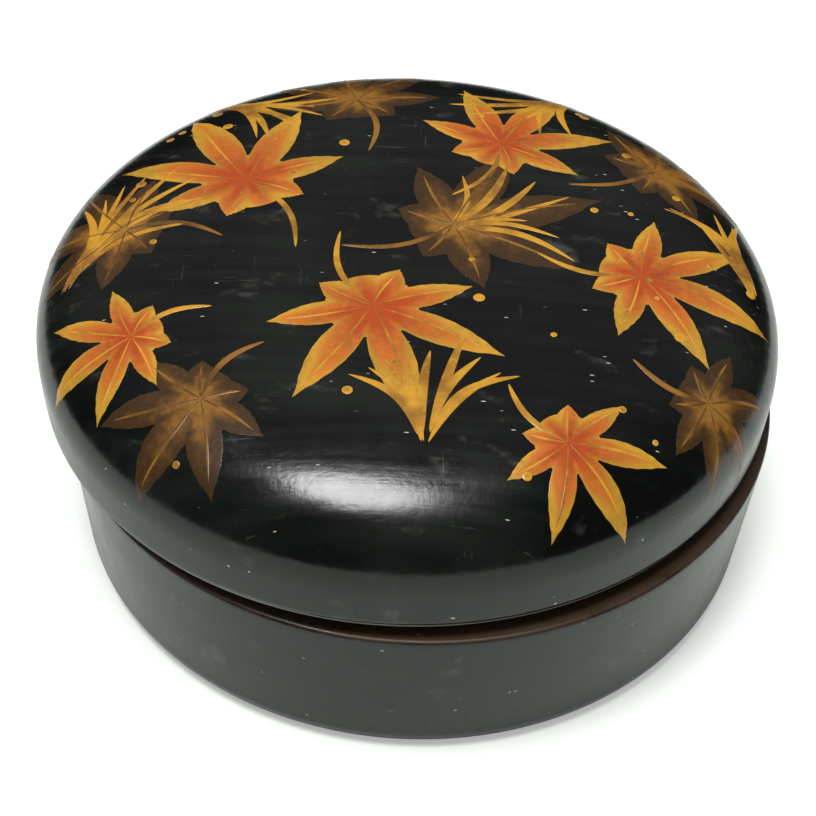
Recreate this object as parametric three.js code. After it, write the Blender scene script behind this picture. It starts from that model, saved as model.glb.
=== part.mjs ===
// A round black lacquer box: a turned base with an upright inner collar, and a domed lid over it.
// Millimetres, +Z up, the middle of the flat underside at the origin, the lid set down as in use.
import * as THREE from "three";

// Driving dimensions
const lidRadius = 55.0;
const lidEdgeRadius = 54.5;
const lidEdgeHeight = 27.3;
const lidWallHeight = 7.1;
const crownRise = 15.3;
const lidThickness = 3.6;
const baseShoulderRadius = 53.5;
const baseLowerRadius = 51.9;
const footRadius = 48.8;
const footRound = 3.9;
const shoulderRound = 0.6;
const ledgeHeight = 25.4;
const boardThickness = 3.4;
const boardRadius = 44.9;
const collarOuterRadius = 48.1;
const collarThickness = 2.0;
const collarTop = 35.8;
const liningThickness = 0.5;
const seam = 0.1;

// The lid lies a little to the left and back on its collar, within its play.
const lidOffset = new THREE.Vector2(-1.9, 1.6);

// The crown is a superellipse: nearly flat on top, with a full round shoulder.
const crownFlatness = 4.2;
const crownFullness = 2.4;

const segments = 64;
const crownSteps = 16;
const roundSteps = 6;

// Worked-out dimensions
const boardTop = boardThickness;
const stepHeight = boardTop + seam;
const baseInnerRadius = collarOuterRadius + seam;
const collarInnerRadius = collarOuterRadius - collarThickness;
const floorTop = stepHeight + liningThickness;
const crownStart = lidEdgeHeight + lidWallHeight;
const lidInnerRadius = lidRadius - lidThickness;
const ceilingRise = crownRise - lidThickness;

const blackLacquer = { color: 0x0d0c0b, roughness: 0.18, metalness: 0.0 };
const wornLacquer = { color: 0x1c1712, roughness: 0.35, metalness: 0.0 };
const innerLacquer = { color: 0x17100d, roughness: 0.4, metalness: 0.0 };

// Turns a closed profile of [radius, height] pairs about Z into one named mesh.
function turned(name, profile, look) {
  const points = profile.map(([radius, height]) => new THREE.Vector2(radius, height));
  const geometry = new THREE.LatheGeometry(points, segments);
  geometry.rotateX(Math.PI / 2);
  const mesh = new THREE.Mesh(geometry, new THREE.MeshStandardMaterial(look));
  mesh.name = name;
  return mesh;
}

// Repeats the first point of a ring's profile, so that the outline closes on itself.
function closed(profile) {
  return [...profile, profile[0]];
}

// Points on a quarter of an ellipse about a centre, from one angle to another.
function quarterRound(centreRadius, centreHeight, across, up, fromAngle, toAngle) {
  const points = [];
  for (let step = 0; step <= roundSteps; step += 1) {
    const angle = fromAngle + (toAngle - fromAngle) * (step / roundSteps);
    const radius = centreRadius + across * Math.cos(angle);
    const height = centreHeight + up * Math.sin(angle);
    points.push([radius, height]);
  }
  return points;
}

// The crown's line from its rim at the start height up to the axis.
function crownLine(rimRadius, startHeight, rise) {
  const points = [];
  for (let step = 0; step <= crownSteps; step += 1) {
    const angle = (step / crownSteps) * (Math.PI / 2);
    const across = Math.pow(Math.cos(angle), 2 / crownFlatness);
    const up = Math.pow(Math.sin(angle), 2 / crownFullness);
    const radius = step === crownSteps ? 0 : rimRadius * across;
    points.push([radius, startHeight + rise * up]);
  }
  return points;
}

function baseWall() {
  const foot = quarterRound(
    footRadius, footRound, baseLowerRadius - footRadius, footRound, -Math.PI / 2, 0);
  const shoulder = quarterRound(
    baseShoulderRadius - shoulderRound, ledgeHeight - shoulderRound,
    shoulderRound, shoulderRound, 0, Math.PI / 2);
  const inside = [
    [baseInnerRadius, ledgeHeight],
    [baseInnerRadius, stepHeight],
    [boardRadius + seam, stepHeight],
    [boardRadius + seam, 0],
  ];
  return turned("base_wall", closed([...foot, ...shoulder, ...inside]), blackLacquer);
}

function baseBoard() {
  const profile = [[0, 0], [boardRadius, 0], [boardRadius, boardTop], [0, boardTop]];
  return turned("base_board", profile, wornLacquer);
}

function innerCollar() {
  const rimRound = collarThickness / 2;
  const rim = quarterRound(
    collarOuterRadius - rimRound, collarTop - rimRound, rimRound, rimRound, 0, Math.PI);
  const profile = [
    [collarInnerRadius, stepHeight + seam],
    [collarOuterRadius, stepHeight + seam],
    ...rim,
  ];
  return turned("inner_collar", closed(profile), wornLacquer);
}

function baseLining() {
  const radius = collarInnerRadius - seam;
  const profile = [[0, stepHeight + seam], [radius, stepHeight + seam], [radius, floorTop], [0, floorTop]];
  return turned("base_lining", profile, innerLacquer);
}

function lidWall() {
  const edgeRound = lidRadius - lidEdgeRadius;
  const profile = [
    [lidInnerRadius, lidEdgeHeight],
    [lidEdgeRadius, lidEdgeHeight],
    [lidEdgeRadius + edgeRound / 2, lidEdgeHeight + lidWallHeight / 4],
    [lidRadius - edgeRound / 4, lidEdgeHeight + lidWallHeight * 0.6],
    [lidRadius, crownStart - seam],
    [lidInnerRadius, crownStart - seam],
  ];
  return turned("lid_wall", closed(profile), blackLacquer);
}

function lidCrown() {
  const outside = crownLine(lidRadius, crownStart, crownRise);
  const inside = crownLine(lidInnerRadius, crownStart, ceilingRise).reverse();
  return turned("lid_crown", [...inside, ...outside], blackLacquer);
}

function lidLining() {
  const outerRadius = lidInnerRadius - seam;
  const innerRadius = outerRadius - liningThickness;
  const outside = crownLine(outerRadius, crownStart, ceilingRise - seam);
  const inside = crownLine(innerRadius, crownStart, ceilingRise - seam - liningThickness).reverse();
  const bottom = lidEdgeHeight + seam;
  const profile = [...inside, [innerRadius, bottom], [outerRadius, bottom], ...outside];
  return turned("lid_lining", profile, innerLacquer);
}

const box = new THREE.Group();
box.add(baseWall(), baseBoard(), innerCollar(), baseLining());

const lid = new THREE.Group();
lid.position.set(lidOffset.x, lidOffset.y, 0);
lid.add(lidWall(), lidCrown(), lidLining());
box.add(lid);

export default box;
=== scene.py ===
import bpy
import numpy as np
from mathutils import Matrix, Vector


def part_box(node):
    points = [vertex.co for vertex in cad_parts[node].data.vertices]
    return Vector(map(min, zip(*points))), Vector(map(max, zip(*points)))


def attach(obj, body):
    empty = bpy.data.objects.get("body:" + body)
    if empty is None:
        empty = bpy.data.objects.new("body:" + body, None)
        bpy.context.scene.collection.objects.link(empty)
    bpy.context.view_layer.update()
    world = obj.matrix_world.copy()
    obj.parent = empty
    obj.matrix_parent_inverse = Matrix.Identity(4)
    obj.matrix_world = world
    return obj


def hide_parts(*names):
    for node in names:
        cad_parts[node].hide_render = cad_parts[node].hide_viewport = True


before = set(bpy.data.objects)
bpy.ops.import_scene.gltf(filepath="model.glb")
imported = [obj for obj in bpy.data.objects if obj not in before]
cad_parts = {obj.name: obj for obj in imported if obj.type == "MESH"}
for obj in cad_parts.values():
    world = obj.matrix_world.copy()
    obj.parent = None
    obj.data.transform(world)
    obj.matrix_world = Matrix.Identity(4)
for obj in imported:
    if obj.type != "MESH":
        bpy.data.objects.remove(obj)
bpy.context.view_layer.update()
mm = 0.001

# sizes read from the frame, in metres
crownLow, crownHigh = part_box("lid_crown")
wallLow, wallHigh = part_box("lid_wall")
baseLow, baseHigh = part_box("base_wall")
boardLow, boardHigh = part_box("base_board")
collarLow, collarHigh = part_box("inner_collar")
floorLow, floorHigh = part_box("base_lining")
liningLow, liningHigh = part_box("lid_lining")
lidCentre = ((crownLow[0] + crownHigh[0]) / 2, (crownLow[1] + crownHigh[1]) / 2)
lidRadius = (crownHigh[0] - crownLow[0]) / 2
shoulderRadius = (baseHigh[0] - baseLow[0]) / 2
boardRadius = (boardHigh[0] - boardLow[0]) / 2
collarRadius = (collarHigh[0] - collarLow[0]) / 2
floorRadius = (floorHigh[0] - floorLow[0]) / 2
liningRadius = (liningHigh[0] - liningLow[0]) / 2


class Socket:
    # wraps one output socket, so that shader maths is written as plain expressions
    def __init__(self, finish, out):
        self.finish, self.out = finish, out

    def maths(self, operation, first, second):
        return self.finish.node("ShaderNodeMath", {"operation": operation}, {0: first, 1: second})

    def __add__(self, other):
        return self.maths("ADD", self, other)

    def __radd__(self, other):
        return self.maths("ADD", other, self)

    def __sub__(self, other):
        return self.maths("SUBTRACT", self, other)

    def __rsub__(self, other):
        return self.maths("SUBTRACT", other, self)

    def __mul__(self, other):
        return self.maths("MULTIPLY", self, other)


class Finish:
    # the node tree of one material, or of the world
    def __init__(self, owner):
        owner.use_nodes = True
        self.owner, self.tree = owner, owner.node_tree
        self.tree.nodes.clear()

    def node(self, kind, settings=None, inputs=None, output=0):
        made = self.tree.nodes.new(kind)
        for key, value in (settings or {}).items():
            setattr(made, key, value)
        for key, value in (inputs or {}).items():
            if isinstance(value, Socket):
                self.tree.links.new(value.out, made.inputs[key])
            elif isinstance(value, tuple) and made.inputs[key].type == "RGBA":
                made.inputs[key].default_value = (*value, 1)
            else:
                made.inputs[key].default_value = value
        return Socket(self, made.outputs[output])

    def mix(self, factor, first, second):
        inputs = {0: factor, 6: first, 7: second}
        return self.node("ShaderNodeMix", {"data_type": "RGBA"}, inputs, 2)

    def ramp(self, value, low, high):
        # 0 below low, 1 above high, smooth between
        inputs = {"Value": value, "From Min": low, "From Max": high}
        return self.node("ShaderNodeMapRange", {"interpolation_type": "SMOOTHSTEP"}, inputs)

    def place(self, scale=(1, 1, 1), turn=0.0):
        spot = self.node("ShaderNodeTexCoord", output="Object")
        inputs = {"Vector": spot, "Scale": scale, "Rotation": (0, 0, turn)}
        return self.node("ShaderNodeMapping", {}, inputs)

    def noise(self, scale, detail=3.0, stretch=(1, 1, 1), turn=0.0, roughness=0.55):
        inputs = {"Vector": self.place(stretch, turn), "Scale": scale,
                  "Detail": detail, "Roughness": roughness}
        return self.node("ShaderNodeTexNoise", {}, inputs)

    def attribute(self, name):
        return self.node("ShaderNodeAttribute", {"attribute_name": name}, {}, "Fac")

    def bump(self, height, strength, distance):
        inputs = {"Height": height, "Strength": strength, "Distance": distance}
        return self.node("ShaderNodeBump", {}, inputs)

    def close(self, **inputs):
        named = {key.replace("_", " "): value for key, value in inputs.items()}
        return self.end("ShaderNodeOutputMaterial", self.node("ShaderNodeBsdfPrincipled", {}, named))

    def end(self, kind, shader):
        last = self.tree.nodes.new(kind)
        self.tree.links.new(shader.out, last.inputs["Surface"])
        return self.owner


def newFinish(name):
    return Finish(bpy.data.materials.new(name))


# a grid of points, rows along the shape and columns round it, becomes one smooth closed mesh
# the first and last rows of a shape with poles are single points, and a ring's last row joins its first
def gridFaces(rows, columns, poles):
    row, column = np.meshgrid(np.arange(rows - 1 + (not poles)), np.arange(columns), indexing="ij")
    above, beside = (row + 1) % rows, (column + 1) % columns
    quads = np.stack([row * columns + column, row * columns + beside,
                      above * columns + beside, above * columns + column], axis=-1)
    return quads.reshape(-1, 4)


def meshFromGrids(name, grids, poles, values=None):
    points, corners, lengths, stored = [], [], [], {key: [] for key in (values or {})}
    start = 0
    for index, grid in enumerate(grids):
        rows, columns = grid.shape[:2]
        inner = grid[1:-1] if poles else grid
        quads = gridFaces(inner.shape[0], columns, poles) + start
        flat = inner.reshape(-1, 3)
        points.append(flat)
        corners.append(quads.ravel())
        lengths.append(np.full(len(quads), 4))
        if poles:
            first, last = start + len(flat), start + len(flat) + 1
            points.append(np.stack([grid[0, 0], grid[-1, 0]]))
            column = np.arange(columns)
            beside = (column + 1) % columns
            lastRow = start + (inner.shape[0] - 1) * columns
            fans = np.concatenate([
                np.stack([np.full(columns, first), start + beside, start + column], axis=-1),
                np.stack([np.full(columns, last), lastRow + column, lastRow + beside], axis=-1)])
            corners.append(fans.ravel())
            lengths.append(np.full(len(fans), 3))
        for key, table in (values or {}).items():
            value = table[index]
            stored[key].append((value[1:-1] if poles else value).ravel())
            if poles:
                stored[key].append(np.array([value[0, 0], value[-1, 0]]))
        start += len(flat) + (2 if poles else 0)
    points, corners = np.concatenate(points), np.concatenate(corners)
    lengths = np.concatenate(lengths)
    mesh = bpy.data.meshes.new(name)
    mesh.vertices.add(len(points))
    mesh.vertices.foreach_set("co", points.astype(np.float32).ravel())
    mesh.loops.add(len(corners))
    mesh.loops.foreach_set("vertex_index", corners.astype(np.int32))
    mesh.polygons.add(len(lengths))
    starts = np.concatenate([[0], np.cumsum(lengths)[:-1]])
    mesh.polygons.foreach_set("loop_start", starts.astype(np.int32))
    mesh.polygons.foreach_set("use_smooth", np.ones(len(lengths), bool))
    mesh.update(calc_edges=True)
    mesh.validate()
    for key, parts in stored.items():
        layer = mesh.attributes.new(key, "FLOAT", "POINT")
        layer.data.foreach_set("value", np.concatenate(parts).astype(np.float32))
    piece = bpy.data.objects.new(name, mesh)
    bpy.context.scene.collection.objects.link(piece)
    return piece


# an outline of radius and height carried round an upright axis at centre
def turnedGrid(outline, centre, steps=256):
    angle = np.linspace(0, 2 * np.pi, steps, endpoint=False)
    radius, height = outline[:, :1], outline[:, 1:]
    return np.stack([centre[0] + radius * np.cos(angle), centre[1] + radius * np.sin(angle),
                     np.repeat(height, steps, axis=1)], axis=-1)


# points from one corner to the next, so that long straight runs have rows of their own
def straight(first, last, steps=8):
    part = np.linspace(0, 1, steps + 1)[:, None]
    return np.array(first) * (1 - part) + np.array(last) * part


# part of an ellipse about a centre, between two angles in degrees
def arc(centre, across, up, start, end, steps=12):
    angle = np.radians(np.linspace(start, end, steps + 1))
    return np.stack([centre[0] + across * np.cos(angle), centre[1] + up * np.sin(angle)], axis=-1)


def joined(*parts):
    outline = np.concatenate(parts)
    apart = np.linalg.norm(np.diff(outline, axis=0), axis=1) > 1e-7
    return outline[np.concatenate([[True], apart])]


def finishPiece(piece, material, body, slot, *nodes):
    piece.data.materials.append(material)
    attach(piece, body)
    if nodes:
        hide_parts(*nodes)
    print("made", piece.name)
    return piece


crown = {"flatness": 4.2, "fullness": 2.4, "steps": 90}


# superellipse: height falls from the rise at the axis to 0 at the rim, flat on top, full at the shoulder
def crownOutline(rim, start, rise):
    angle = np.linspace(0, np.pi / 2, crown["steps"] + 1)
    radius = rim * np.cos(angle) ** (2 / crown["flatness"])
    height = start + rise * np.sin(angle) ** (2 / crown["fullness"])
    radius[-1] = 0
    return np.stack([radius, height], axis=-1)


# paintRoom lowers the crown a little, so that the paint stays inside the CAD box
# the side leans out by the power spread, from the share spreadStart of its height upwards
lid = {"edgeRadius": 54.5 * mm, "edgeRound": 1.1 * mm, "thickness": 3.6 * mm, "liningThickness": 0.5 * mm,
       "paintRoom": 0.12 * mm, "spread": 0.6, "spreadStart": 0.17}


# the lid's outer line from its lower edge up to the axis
def lidOutside():
    low, high = wallLow[2], crownLow[2]
    tall = high - low
    bevel = arc((lid["edgeRadius"] - lid["edgeRound"], low + lid["edgeRound"]),
                lid["edgeRound"], lid["edgeRound"], -90, 0, 8)
    wall = np.array([
        (lid["edgeRadius"] + (lidRadius - lid["edgeRadius"]) * part ** lid["spread"], low + tall * part)
        for part in np.linspace(lid["spreadStart"], 1, 12)])
    return joined(bevel, wall, crownOutline(lidRadius, high, crownHigh[2] - high - lid["paintRoom"]))


def makeLidShell():
    inner = lidRadius - lid["thickness"]
    rise = crownHigh[2] - crownLow[2] - lid["thickness"]
    ceiling = crownOutline(inner, crownLow[2], rise)[::-1]
    drop = straight((inner, crownLow[2]), (inner, wallLow[2]), 6)
    outline = joined(ceiling, drop, lidOutside())
    return meshFromGrids("lidShell", [turnedGrid(outline, lidCentre)], True)


def makeLidLining():
    outer, skin = liningRadius, lid["liningThickness"]
    low, top = liningLow[2], liningHigh[2]
    outside = crownOutline(outer, crownLow[2], top - crownLow[2])
    inside = crownOutline(outer - skin, crownLow[2], top - skin - crownLow[2])[::-1]
    drop = straight((outer - skin, crownLow[2]), (outer - skin, low), 6)
    outline = joined(inside, drop, [(outer, low)], outside)
    return meshFromGrids("lidLiningSkin", [turnedGrid(outline, lidCentre)], True)


base = {"lowerRadius": 51.9 * mm, "footRadius": 48.8 * mm, "footRound": 3.9 * mm,
        "shoulderRound": 0.6 * mm, "seam": 0.1 * mm, "collarThickness": 2.0 * mm, "boardEdge": 0.25 * mm,
        "liningEdgeShare": 0.4}


def makeBaseShell():
    top, inner = baseHigh[2], collarRadius + base["seam"]
    step = boardHigh[2] + base["seam"]
    foot = arc((base["footRadius"], base["footRound"]), base["lowerRadius"] - base["footRadius"],
               base["footRound"], -90, 0, 16)
    shoulder = arc((shoulderRadius - base["shoulderRound"], top - base["shoulderRound"]),
                   base["shoulderRound"], base["shoulderRound"], 0, 90, 20)
    rim = boardRadius + base["seam"]
    side = straight(foot[-1], shoulder[0], 24)
    ledge = straight(shoulder[-1], (inner, top), 4)
    well = joined(straight((inner, top), (inner, step), 4), straight((inner, step), (rim, step), 2),
                  straight((rim, step), (rim, 0), 2))
    outline = joined(foot, side, shoulder, ledge, well, straight((rim, 0), foot[0], 3))[:-1]
    return meshFromGrids("baseShell", [turnedGrid(outline, (0, 0))], False)


# a flat disc with a small rounded rim
def discOutline(radius, low, high, edge):
    middle, flat = radius * 0.1, radius - edge
    return joined([(0, low)], straight((middle, low), (flat, low), 10),
                  arc((flat, low + edge), edge, edge, -90, 0, 5),
                  arc((flat, high - edge), edge, edge, 0, 90, 5),
                  straight((flat, high), (middle, high), 10), [(0, high)])


def makeBaseBoard():
    outline = discOutline(boardRadius, boardLow[2], boardHigh[2], base["boardEdge"])
    return meshFromGrids("baseBoardDisc", [turnedGrid(outline, (0, 0))], True)


def makeFloorLining():
    edge = (floorHigh[2] - floorLow[2]) * base["liningEdgeShare"]
    outline = discOutline(floorRadius, floorLow[2], floorHigh[2], edge)
    return meshFromGrids("floorLiningDisc", [turnedGrid(outline, (0, 0))], True)


def makeCollar():
    half = base["collarThickness"] / 2
    low, top = collarLow[2], collarHigh[2]
    rim = arc((collarRadius - half, top - half), half, half, 0, 180, 20)
    outline = joined(straight((collarRadius, low), rim[0], 12), rim,
                     straight(rim[-1], (collarRadius - 2 * half, low), 12),
                     straight((collarRadius - 2 * half, low), (collarRadius, low), 2))[:-1]
    return meshFromGrids("collarRing", [turnedGrid(outline, (0, 0))], False)


# lacquer, from the photograph: near black, hazy and finely scuffed, with dust flecks and brown wear, and a
# pale painted highlight along the lid's lower edge
lacquer = {"black": (0.0040, 0.0048, 0.0041), "haze": (0.012, 0.0145, 0.012),
           "scuff": (0.17, 0.175, 0.155), "wear": (0.060, 0.034, 0.018), "rim": (0.24, 0.25, 0.23),
           "dust": (0.66, 0.65, 0.60), "roughness": 0.13, "relief": 0.22, "reliefDepth": 0.4 * mm}
# the plain finishes inside and underneath, each between a dark and a warm colour
plain = {"innerDark": (0.018, 0.010, 0.007), "innerWarm": (0.040, 0.018, 0.011), "innerRoughness": 0.32,
         "underDark": (0.010, 0.009, 0.008), "underWarm": (0.028, 0.021, 0.016), "underRoughness": 0.36,
         "relief": 0.2, "reliefDepth": 0.3 * mm}
# in millimetres: how far up from the lid's edge the painted highlight line is full and gone, and how far
# below the base's top the wear starts and is full
lines = {"paintedHighlightFull": 0.7, "paintedHighlightGone": 1.05, "wearStart": 0.7, "wearFull": 0.1}


def lacquerFinish(name, haze=1.0, dusty=1.0, wear=None, rim=None):
    finish = newFinish(name)
    spot = finish.node("ShaderNodeTexCoord", output="Object")
    height = finish.node("ShaderNodeSeparateXYZ", {}, {"Vector": spot}, "Z")
    cloud = finish.noise(38, 4)
    brushed = finish.noise(150, 4, stretch=(0.16, 2.6, 1), turn=0.05)
    fine = finish.noise(900, 3)
    hazeMask = finish.ramp(cloud * 0.6 + brushed * 0.4, 0.42, 0.66) * haze
    scratches = finish.ramp(finish.noise(420, 2, stretch=(0.3, 8.0, 1), turn=0.5), 0.66, 0.76)
    crossed = finish.ramp(finish.noise(380, 2, stretch=(7.0, 0.3, 1), turn=0.3), 0.68, 0.78)
    patches = finish.ramp(finish.noise(60, 2), 0.52, 0.68)
    smudge = finish.ramp(finish.noise(130, 4, stretch=(1, 1.7, 1), turn=0.7), 0.59, 0.76)
    scuffMask = (scratches + crossed) * patches * 0.5 + smudge * 0.3
    cells = {"Vector": finish.place((0.6, 2.6, 1), 0.04), "Scale": 330.0}
    flecks = finish.node("ShaderNodeTexVoronoi", {}, cells)
    strewn = finish.ramp(finish.noise(240, 1), 0.49, 0.55)
    fleckMask = (1 - finish.ramp(flecks, 0.04, 0.085)) * strewn * dusty
    colour = finish.mix(hazeMask, lacquer["black"], lacquer["haze"])
    colour = finish.mix(scuffMask, colour, lacquer["scuff"])
    rough = lacquer["roughness"] + hazeMask * 0.10 + scuffMask * 0.3 + fine * 0.05
    if rim:  # a painted highlight: a pale line along the lid's lower edge, standing in for its glint
        colour = finish.mix((1 - finish.ramp(height, *rim)) * (0.5 + cloud * 0.5), colour, lacquer["rim"])
    if wear:  # brown where the black has rubbed thin
        near = finish.ramp(height, *wear)
        rubbed = near * finish.ramp(cloud * 0.5 + fine * 0.3 + brushed * 0.3 + near * 0.25, 0.55, 0.85)
        colour = finish.mix(rubbed, colour, lacquer["wear"])
        rough = rough + rubbed * 0.25
    colour = finish.mix(fleckMask, colour, lacquer["dust"])
    relief = brushed * 0.6 + fine * 0.25 + cloud * 0.4
    return finish.close(Base_Color=colour, Roughness=rough + fleckMask * 0.4,
                        Normal=finish.bump(relief, lacquer["relief"], lacquer["reliefDepth"]))


def insideFinish(name, dark, warm, roughness):
    finish = newFinish(name)
    cloud, fine = finish.noise(70, 4), finish.noise(700, 3, stretch=(1, 1, 0.3))
    colour = finish.mix(finish.ramp(cloud * 0.7 + fine * 0.3, 0.38, 0.66), dark, warm)
    return finish.close(Base_Color=colour, Roughness=roughness + fine * 0.15,
                        Normal=finish.bump(fine * 0.5 + cloud, plain["relief"], plain["reliefDepth"]))


# paint on the lid: arc length from the crown's middle is the flat distance of the design
outside = lidOutside()[::-1]
runs = np.concatenate([[0], np.cumsum(np.linalg.norm(np.diff(outside, axis=0), axis=1))])
slopes = np.gradient(outside, runs, axis=0)


# wraps flat points over the lid, lifted along the lid's own normal
def onLid(x, y, lift):
    far = np.hypot(x, y) + 1e-9
    radius, height = np.interp(far, runs, outside[:, 0]), np.interp(far, runs, outside[:, 1])
    outRadius, outHeight = -np.interp(far, runs, slopes[:, 1]), np.interp(far, runs, slopes[:, 0])
    size = np.hypot(outRadius, outHeight)
    radius, height = radius + lift * outRadius / size, height + lift * outHeight / size
    return np.stack([lidCentre[0] + radius * x / far, lidCentre[1] + radius * y / far, height], axis=-1)


maple = {"lobes": [(0, 1.0, 0.34), (46, 0.88, 0.33), (-46, 0.88, 0.33), (92, 0.64, 0.32), (-92, 0.64, 0.32),
                   (138, 0.38, 0.30), (-138, 0.38, 0.30)],
         "heart": 0.28, "steps": 336, "rows": 26, "tooth": 0.05}
# veins and the stalk: reach is a share of the leaf's size, width and lift are in metres
vein = {"reach": 0.86, "bow": 0.03, "width": 0.55 * mm, "lift": 0.075 * mm}
stalk = {"reach": 0.75, "bow": 0.14, "width": 1.0 * mm, "lift": 0.07 * mm, "sharpness": 0.5}


# a maple leaf's reach by angle: the longest of seven pointed lobes, with small teeth
def mapleReach(angle, breadth):
    reach = np.full(angle.shape, maple["heart"])
    for middle, length, width in maple["lobes"]:
        off = np.abs((angle - np.radians(middle) + np.pi) % (2 * np.pi) - np.pi) / (width * breadth)
        tooth = 1 + maple["tooth"] * np.abs(((off * 5.0) % 1) - 0.5)
        lobe = maple["heart"] + (length - maple["heart"]) * np.clip(1 - off ** 0.82, 0, 1) ** 0.9
        reach = np.maximum(reach, lobe * tooth)
    return reach


# a thin pillow: each ray runs out from the bottom's middle to the edge, and back over the top
def leafGrid(centre, size, turn, lift, breadth):
    angle = np.linspace(0, 2 * np.pi, maple["steps"], endpoint=False)
    tilt = np.linspace(np.pi, 0, maple["rows"] * 2 + 1)[:, None]
    ray = np.sin(tilt) * size * mapleReach(angle, breadth)
    x = centre[0] + ray * np.cos(angle + turn)
    y = centre[1] + ray * np.sin(angle + turn)
    return onLid(x, y, lift * np.cos(tilt) + 0 * x), np.sin(tilt) + 0 * x, np.cos(angle * 7) + 0 * x


# a stroke: an ellipse section carried along a path, drawn to a point at both ends
def strokeGrid(path, width, lift, sharpness=0.7):
    along = np.linspace(0, 1, len(path))
    ahead = np.gradient(path, axis=0)
    ahead /= np.linalg.norm(ahead, axis=1)[:, None] + 1e-12
    left = np.stack([-ahead[:, 1], ahead[:, 0]], axis=-1)
    half = (width / 2 * np.sin(np.pi * along) ** sharpness)[:, None]
    turn = np.linspace(0, 2 * np.pi, 12, endpoint=False)
    x = path[:, :1] + left[:, :1] * half * np.cos(turn)
    y = path[:, 1:] + left[:, 1:] * half * np.cos(turn)
    x[0], x[-1], y[0], y[-1] = path[0, 0], path[-1, 0], path[0, 1], path[-1, 1]
    return onLid(x, y, lift * np.sin(turn) + 0 * x), np.repeat(along[:, None], 12, axis=1)


# an arched path from one point to another, bowed sideways by a share of its length
def bowed(first, last, bow, steps=40):
    part = np.linspace(0, 1, steps)[:, None]
    first, last = np.array(first), np.array(last)
    side = np.array([-(last - first)[1], (last - first)[0]])
    return first * (1 - part) + last * part + side * bow * np.sin(np.pi * part)


# design places in millimetres from the lid's middle: x, y, size, turn in degrees
redLeaves = [(-25, 13, 24, 118), (13, 25, 21, 62), (33, -5, 21, -14), (-5, -15, 23, -72),
             (-38, -21, 16, 205), (22, -38, 16, -48)]
duskLeaves = [(-10, 37, 21, 100), (37, 23, 21, 28), (-42, 2, 20, 170), (6, 4, 23, 20),
              (-27, -33, 17, -128), (42, -27, 16, -24)]
# how far each leaf's paint stands out, and how broad its lobes are
leafShape = {"redLift": 0.065 * mm, "redBreadth": 1.1, "duskLift": 0.035 * mm, "duskBreadth": 1.45}


def makeLeaves(name, places, lift, breadth):
    grids, tints, lobes = [], [], []
    for x, y, size, turn in places:
        grid, tint, lobe = leafGrid((x * mm, y * mm), size * mm, np.radians(turn), lift, breadth)
        grids.append(grid)
        tints.append(tint)
        lobes.append(lobe)
    return meshFromGrids(name, grids, True, {"reach": tints, "lobe": lobes})


# veins run out to each lobe, and a stalk runs back from the leaf's heart
def makeVeins(name, places):
    grids, tints = [], []
    for x, y, size, turn in places:
        for middle, length, width in maple["lobes"]:
            aim = np.radians(turn + middle)
            reach = size * length * vein["reach"]
            path = bowed((x, y), (x + reach * np.cos(aim), y + reach * np.sin(aim)), vein["bow"]) * mm
            grid, tint = strokeGrid(path, vein["width"], vein["lift"])
            grids.append(grid)
            tints.append(tint)
        aim = np.radians(turn + 180)
        reach = size * stalk["reach"]
        path = bowed((x, y), (x + reach * np.cos(aim), y + reach * np.sin(aim)), stalk["bow"]) * mm
        grid, tint = strokeGrid(path, stalk["width"], stalk["lift"], stalk["sharpness"])
        grids.append(grid)
        tints.append(tint)
    return meshFromGrids(name, grids, True, {"reach": tints})


# sheaves of grass: start x, y, heading and spread in degrees, length, number of blades
sheaves = [(-50, -8, 60, 60, 27, 9), (51, -2, 112, 46, 19, 7), (3, -39, 88, 92, 19, 9),
           (27, 48, 228, 62, 22, 8), (-35, 41, -30, 56, 22, 8), (4, 2, 30, 90, 20, 7)]
# for each blade: scatter and width in millimetres, lift in metres, the rest as shares of its length
grass = {"seed": 11, "scatter": 1.1, "share": (0.72, 1.12), "bow": 0.05, "lean": 0.34, "width": (1.1, 1.6),
         "lift": 0.06 * mm}


def makeGrass():
    draw = np.random.default_rng(grass["seed"])
    scatter = grass["scatter"]
    grids, tints = [], []
    for x, y, heading, spread, length, blades in sheaves:
        for turn in np.linspace(-0.5, 0.5, blades):
            aim = np.radians(heading + spread * turn)
            reach = length * draw.uniform(*grass["share"])
            start = (x + draw.uniform(-scatter, scatter), y + draw.uniform(-scatter, scatter))
            end = (start[0] + reach * np.cos(aim), start[1] + reach * np.sin(aim))
            bow = draw.uniform(-grass["bow"], grass["bow"]) - turn * grass["lean"]
            path = bowed(start, end, bow) * mm
            grid, tint = strokeGrid(path, draw.uniform(*grass["width"]) * mm, grass["lift"])
            grids.append(grid)
            tints.append(tint)
    return meshFromGrids("grassStrokes", grids, True, {"reach": tints})


# small round dots of gold at random on the lid's top, also over the leaves: radius and field in
# millimetres, lift in metres
dots = {"seed": 5, "count": 34, "field": 52, "radius": (0.45, 0.95), "lift": 0.08 * mm}


def makeDots():
    draw = np.random.default_rng(dots["seed"])
    grids, tints = [], []
    for number in range(dots["count"]):
        far, turn = dots["field"] * np.sqrt(draw.uniform(0.02, 1)), draw.uniform(0, 2 * np.pi)
        radius = draw.uniform(*dots["radius"]) * mm
        angle = np.linspace(0, 2 * np.pi, 20, endpoint=False)
        tilt = np.linspace(np.pi, 0, 9)[:, None]
        x = far * mm * np.cos(turn) + radius * np.sin(tilt) * np.cos(angle)
        y = far * mm * np.sin(turn) + radius * np.sin(tilt) * np.sin(angle)
        grids.append(onLid(x, y, dots["lift"] * np.cos(tilt) + 0 * x))
        tints.append(np.sin(tilt) + 0 * x)
    return meshFromGrids("goldDots", grids, True, {"reach": tints})


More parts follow.
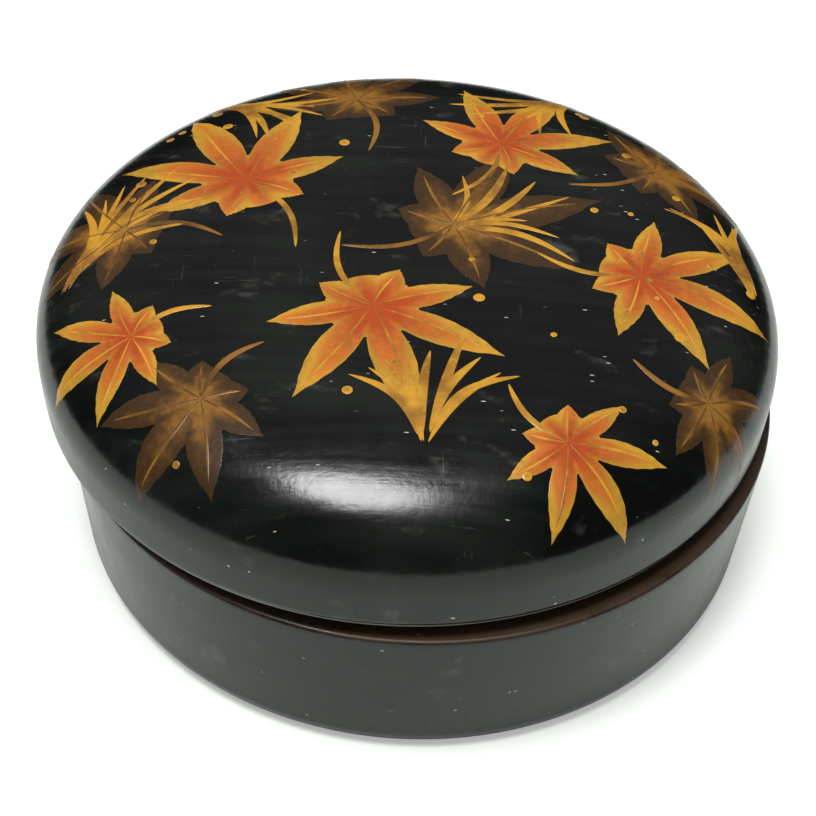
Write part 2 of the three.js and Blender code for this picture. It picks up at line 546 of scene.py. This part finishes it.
paint = {"red": (0.50, 0.075, 0.012), "orange": (0.68, 0.19, 0.025), "gold": (0.80, 0.42, 0.04),
         "dusk": (0.135, 0.062, 0.016), "night": (0.022, 0.014, 0.008), "line": (0.70, 0.35, 0.03),
         "oldLine": (0.33, 0.145, 0.022), "roughness": 0.2}


# leaf paint: warm at the heart, gold towards the tips, with dry brush streaks that let the black through
def leafFinish(name, heart, middle, tip, bare):
    finish = newFinish(name)
    reach, lobe = finish.attribute("reach"), finish.attribute("lobe")
    streaks = finish.noise(900, 4, roughness=0.7)
    broad = finish.noise(170, 3)
    blend = reach + (broad - 0.5) * 0.7 + lobe * 0.12
    colour = finish.mix(finish.ramp(blend, 0.25, 0.75), heart, middle)
    colour = finish.mix(finish.ramp(blend + (streaks - 0.5) * 0.5, 0.70, 1.0), colour, tip)
    thin = finish.ramp(streaks * 0.6 + broad * 0.6 + reach * bare, 0.62, 0.98)
    colour = finish.mix(thin * bare * 1.6, colour, paint["night"])
    return finish.close(Base_Color=colour, Roughness=paint["roughness"] + streaks * 0.12,
                        Normal=finish.bump(streaks, 0.15, 0.0003))


def lineFinish(name, old, fresh, bright):
    finish = newFinish(name)
    reach = finish.attribute("reach")
    streaks = finish.noise(650, 4, roughness=0.65)
    worn = finish.noise(110, 3)
    colour = finish.mix(finish.ramp(worn + (reach - 0.5) * 0.2, 0.38, 0.62), old, fresh)
    colour = finish.mix(finish.ramp(streaks, 0.5, 0.7) * 0.4, colour, bright)
    return finish.close(Base_Color=colour, Roughness=paint["roughness"] + streaks * 0.15)


def makeObject():
    # the pale line along the lid's lower edge is a painted highlight
    rim = (wallLow[2] + lines["paintedHighlightFull"] * mm, wallLow[2] + lines["paintedHighlightGone"] * mm)
    wear = (baseHigh[2] - lines["wearStart"] * mm, baseHigh[2] - lines["wearFull"] * mm)
    outer = lacquerFinish("blackLacquer", rim=rim)
    side = lacquerFinish("wornLacquer", haze=0.9, dusty=0.6, wear=wear)
    inner = insideFinish("innerLacquer", plain["innerDark"], plain["innerWarm"], plain["innerRoughness"])
    under = insideFinish("undersideLacquer", plain["underDark"], plain["underWarm"], plain["underRoughness"])
    finishPiece(makeLidShell(), outer, "lid", "black_lacquer", "lid_wall", "lid_crown")
    finishPiece(makeLidLining(), inner, "lid", "inner_lacquer", "lid_lining")
    finishPiece(makeBaseShell(), side, "base", "black_lacquer", "base_wall")
    finishPiece(makeBaseBoard(), under, "base", "worn_lacquer", "base_board")
    finishPiece(makeFloorLining(), inner, "base", "inner_lacquer", "base_lining")
    finishPiece(makeCollar(), under, "base", "worn_lacquer", "inner_collar")
    red = leafFinish("redLeafPaint", paint["red"], paint["orange"], paint["gold"], 0.25)
    dusk = leafFinish("duskLeafPaint", paint["oldLine"], paint["dusk"], paint["dusk"], 0.42)
    line = lineFinish("goldLinePaint", paint["oldLine"], paint["line"], paint["gold"])
    dim = lineFinish("duskLinePaint", paint["dusk"], paint["oldLine"], paint["oldLine"])
    lowLeaves = makeLeaves("duskLeaves", duskLeaves, leafShape["duskLift"], leafShape["duskBreadth"])
    finishPiece(lowLeaves, dusk, "lid", "black_lacquer")
    finishPiece(makeVeins("duskVeins", duskLeaves), dim, "lid", "black_lacquer")
    finishPiece(makeGrass(), line, "lid", "black_lacquer")
    highLeaves = makeLeaves("redLeaves", redLeaves, leafShape["redLift"], leafShape["redBreadth"])
    finishPiece(highLeaves, red, "lid", "black_lacquer")
    finishPiece(makeVeins("redVeins", redLeaves), line, "lid", "black_lacquer")
    finishPiece(makeDots(), line, "lid", "black_lacquer")


# camera: fitted to the box's outline in the photograph, looking down at the lid from the front
camera = {"focalPixels": 1900, "imagePixels": 816, "sensor": 36.0, "elevation": 42.0, "distance": 0.289,
          "pitch": -1.40, "yaw": -0.27, "roll": 2.58}


def makeCamera():
    rise = np.radians(camera["elevation"])
    spot = Vector((0, -camera["distance"] * np.cos(rise), camera["distance"] * np.sin(rise)))
    ahead = -spot.normalized()
    right = ahead.cross(Vector((0, 0, 1))).normalized()
    up = right.cross(ahead)
    ahead = ahead + up * np.tan(np.radians(camera["pitch"])) + right * np.tan(np.radians(camera["yaw"]))
    ahead.normalize()
    right = (right - ahead * right.dot(ahead)).normalized()
    up = right.cross(ahead)
    roll = np.radians(camera["roll"])
    across = right * np.cos(roll) + up * np.sin(roll)
    upward = up * np.cos(roll) - right * np.sin(roll)
    turned = Matrix((across, upward, -ahead)).transposed().to_4x4()
    data = bpy.data.cameras.new("photoCamera")
    data.sensor_width = camera["sensor"]
    data.lens = camera["sensor"] * camera["focalPixels"] / camera["imagePixels"]
    data.clip_start = 0.01
    view = bpy.data.objects.new("photoCamera", data)
    view.matrix_world = Matrix.Translation(spot + Vector((0, 0, wallLow[2]))) @ turned
    bpy.context.scene.collection.objects.link(view)
    bpy.context.scene.camera = view


# light: one soft lamp nearly overhead, a dim room, and a pale round floor that looks white from the camera
light = {"power": 2.35, "softness": 22, "from": (-0.12, -0.13, 0.98), "room": 0.16, "horizon": 0.015,
         "fill": 0.28, "floorColour": (0.81, 0.87, 0.81), "floorRadius": 0.20, "floorDrop": 0.05 * mm,
         "floorRoughness": 0.9, "floorGlow": 0.35}


def makeStage():
    lamp = bpy.data.lights.new("softLamp", "SUN")
    lamp.energy, lamp.angle = light["power"], np.radians(light["softness"])
    sun = bpy.data.objects.new("softLamp", lamp)
    sun.rotation_euler = Vector(light["from"]).to_track_quat("Z", "Y").to_euler()
    bpy.context.scene.collection.objects.link(sun)
    angle = np.linspace(0, 2 * np.pi, 128, endpoint=False)
    rim = np.stack([np.cos(angle), np.sin(angle), 0 * angle], axis=-1) * light["floorRadius"]
    mesh = bpy.data.meshes.new("floor")
    mesh.from_pydata(rim.tolist(), [], [tuple(range(len(rim)))])
    floor = bpy.data.objects.new("floor", mesh)
    floor.location.z = -light["floorDrop"]
    bpy.context.scene.collection.objects.link(floor)
    finish = newFinish("paleFloor")
    seen = finish.node("ShaderNodeLightPath", output="Is Camera Ray")
    last = finish.close(Base_Color=light["floorColour"], Roughness=light["floorRoughness"],
                        Emission_Color=(1.0, 1.0, 1.0), Emission_Strength=seen * light["floorGlow"])
    mesh.materials.append(last)


def makeRoom():
    world = bpy.data.worlds.new("room")
    bpy.context.scene.world = world
    finish = Finish(world)
    way = finish.node("ShaderNodeTexCoord", output="Generated")
    height = finish.node("ShaderNodeSeparateXYZ", {}, {"Vector": way}, "Z")
    depth = finish.node("ShaderNodeSeparateXYZ", {}, {"Vector": way}, "Y")
    behind = finish.ramp(depth, -0.05, 0.60)
    glow = light["horizon"] + finish.ramp(height, 0.10, 0.60) * behind * light["room"]
    seen = finish.node("ShaderNodeLightPath", output="Is Camera Ray")
    matt = finish.node("ShaderNodeLightPath", output="Is Diffuse Ray")
    strength = seen + (1 - seen) * (glow + matt * light["fill"])
    sky = finish.node("ShaderNodeBackground", {}, {"Color": (1.0, 1.0, 1.0), "Strength": strength})
    finish.end("ShaderNodeOutputWorld", sky)


makeCamera()
makeObject()
makeStage()
makeRoom()
bpy.context.scene.view_settings.view_transform = "Standard"
